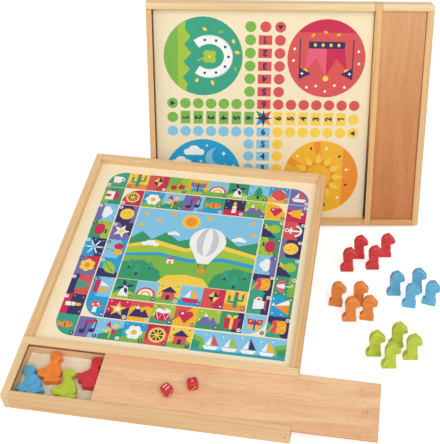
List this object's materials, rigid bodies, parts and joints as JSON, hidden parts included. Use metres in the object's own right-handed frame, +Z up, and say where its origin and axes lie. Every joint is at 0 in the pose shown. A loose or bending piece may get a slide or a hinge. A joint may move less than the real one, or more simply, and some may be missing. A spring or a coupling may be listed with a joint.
{
  "type": "board game set",
  "caption": "Wooden board game set: framed boxes with a printed board and a tray under a sliding lid, leaning together, with loose horse and goose playing pieces and dice.",
  "frame": {"origin": "centre of the whole set's bounding box on the table, so that z = 0 is the table", "axes": "+Z up; +X to the right along the front box's tray, the way its lid slides out; +Y from the tray towards the back box"},
  "size_m": [0.4522, 0.4818, 0.2981],
  "materials": {
    "rail_wood": "clear satin lacquer on pale tan wood, grain along the rail",
    "crossbar_wood": "clear satin lacquer on pale wood",
    "tray_rail_wood": "clear satin lacquer on pale wood",
    "front_board_print": "printed board, satin: race track of numbered squares",
    "back_board_print": "printed board, satin: traditional cross and circle game",
    "front_floor_wood": "pale plywood, matt",
    "back_floor_wood": "orange-brown flame-grained veneer, satin",
    "lid_wood": "clear satin lacquer on peach-coloured veneer",
    "red_paint": "painted wood, satin",
    "orange_paint": "painted wood, satin",
    "blue_paint": "painted wood, satin",
    "green_paint": "painted wood, satin",
    "die_red": "red plastic with white pips"
  },
  "bodies": {
    "root": {"front_box_left_rail": "rail_wood", "front_box_right_rail": "rail_wood", "front_box_back_rail": "rail_wood", "front_box_crossbar": "crossbar_wood", "front_box_tray_front_rail": "tray_rail_wood", "front_box_tray_end_rail": "tray_rail_wood", "front_box_tray_sill": "tray_rail_wood", "front_box_board": "front_board_print", "front_box_tray_floor": "front_floor_wood", "back_box_left_rail": "rail_wood", "back_box_right_rail": "rail_wood", "back_box_back_rail": "rail_wood", "back_box_crossbar": "crossbar_wood", "back_box_tray_front_rail": "tray_rail_wood", "back_box_tray_end_rail": "tray_rail_wood", "back_box_tray_sill": "tray_rail_wood", "back_box_board": "back_board_print", "back_box_tray_floor": "back_floor_wood", "goose_blue": "blue_paint", "goose_orange": "orange_paint", "goose_green": "green_paint", "goose_red": "red_paint", "horse_red_1": "red_paint", "horse_red_2": "red_paint", "horse_red_3": "red_paint", "horse_red_4": "red_paint", "horse_blue_1": "blue_paint", "horse_blue_2": "blue_paint", "horse_blue_3": "blue_paint", "horse_blue_4": "blue_paint", "horse_orange_1": "orange_paint", "horse_orange_2": "orange_paint", "horse_orange_3": "orange_paint", "horse_orange_4": "orange_paint", "horse_green_1": "green_paint", "horse_green_2": "green_paint", "horse_green_3": "green_paint", "horse_green_4": "green_paint"},
    "front_lid": {"front_box_lid": "lid_wood", "die_1": "die_red", "die_2": "die_red"},
    "back_lid": {"back_box_lid": "lid_wood"}
  },
  "joints": [
    {"name": "front_lid_slide", "type": "slide", "parent": "root", "child": "front_lid", "axis": [1, 0, 0], "range_m": [-0.0866, 0.19]},
    {"name": "back_lid_slide", "type": "slide", "parent": "root", "child": "back_lid", "axis": [0.0355, -0.2014, -0.9789], "range_m": [0, 0.27]}
  ]
}
